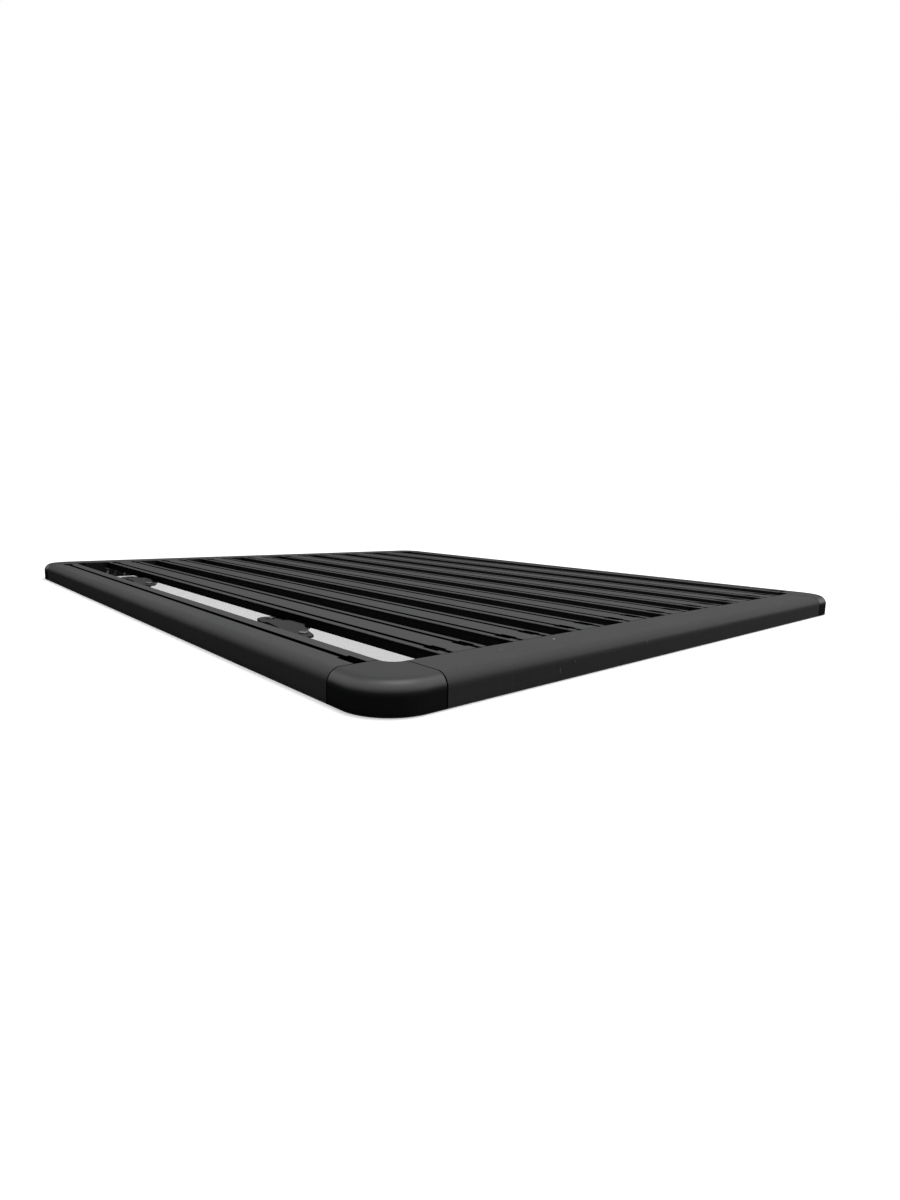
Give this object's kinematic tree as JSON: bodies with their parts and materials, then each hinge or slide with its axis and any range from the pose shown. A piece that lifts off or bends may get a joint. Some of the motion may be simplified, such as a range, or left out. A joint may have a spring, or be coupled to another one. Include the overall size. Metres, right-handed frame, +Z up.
{
  "type": "flat platform roof rack",
  "caption": "Flat roof rack platform: slotted planks lengthwise inside a rounded rail frame with cast corners, and saddle clamps under the outer planks for crossbars.",
  "frame": {"origin": "middle of the rack at its lower edge", "axes": "+Z up, +Y from the front rail to the rear rail along the planks, +X across to the right seen from the front rail's side looking to the rear"},
  "size_m": [1.24, 1.5, 0.04],
  "materials": {
    "rails": "satin black powder coat",
    "planks": "satin black powder coat",
    "castings": "satin black powder coat over a casting",
    "brackets": "matt black",
    "clamps": "dark grey powder coat over a pressing",
    "pads": "black moulded rubber",
    "bolts": "plated steel"
  },
  "bodies": {
    "root": {"side_rail_left": "rails", "side_rail_right": "rails", "end_rail_front": "rails", "end_rail_rear": "rails", "corner_front_left": "castings", "corner_front_right": "castings", "corner_rear_left": "castings", "corner_rear_right": "castings", "plank_1": "planks", "plank_2": "planks", "plank_3": "planks", "plank_4": "planks", "plank_5": "planks", "plank_6": "planks", "plank_7": "planks", "plank_8": "planks", "plank_brackets_front": "brackets", "plank_brackets_rear": "brackets", "clamp_front_left": "clamps", "clamp_front_right": "clamps", "clamp_rear_left": "clamps", "clamp_rear_right": "clamps", "clamp_pad_front_left": "pads", "clamp_pad_front_right": "pads", "clamp_pad_rear_left": "pads", "clamp_pad_rear_right": "pads", "clamp_bolts_front_left": "bolts", "clamp_bolts_front_right": "bolts", "clamp_bolts_rear_left": "bolts", "clamp_bolts_rear_right": "bolts"}
  },
  "joints": []
}
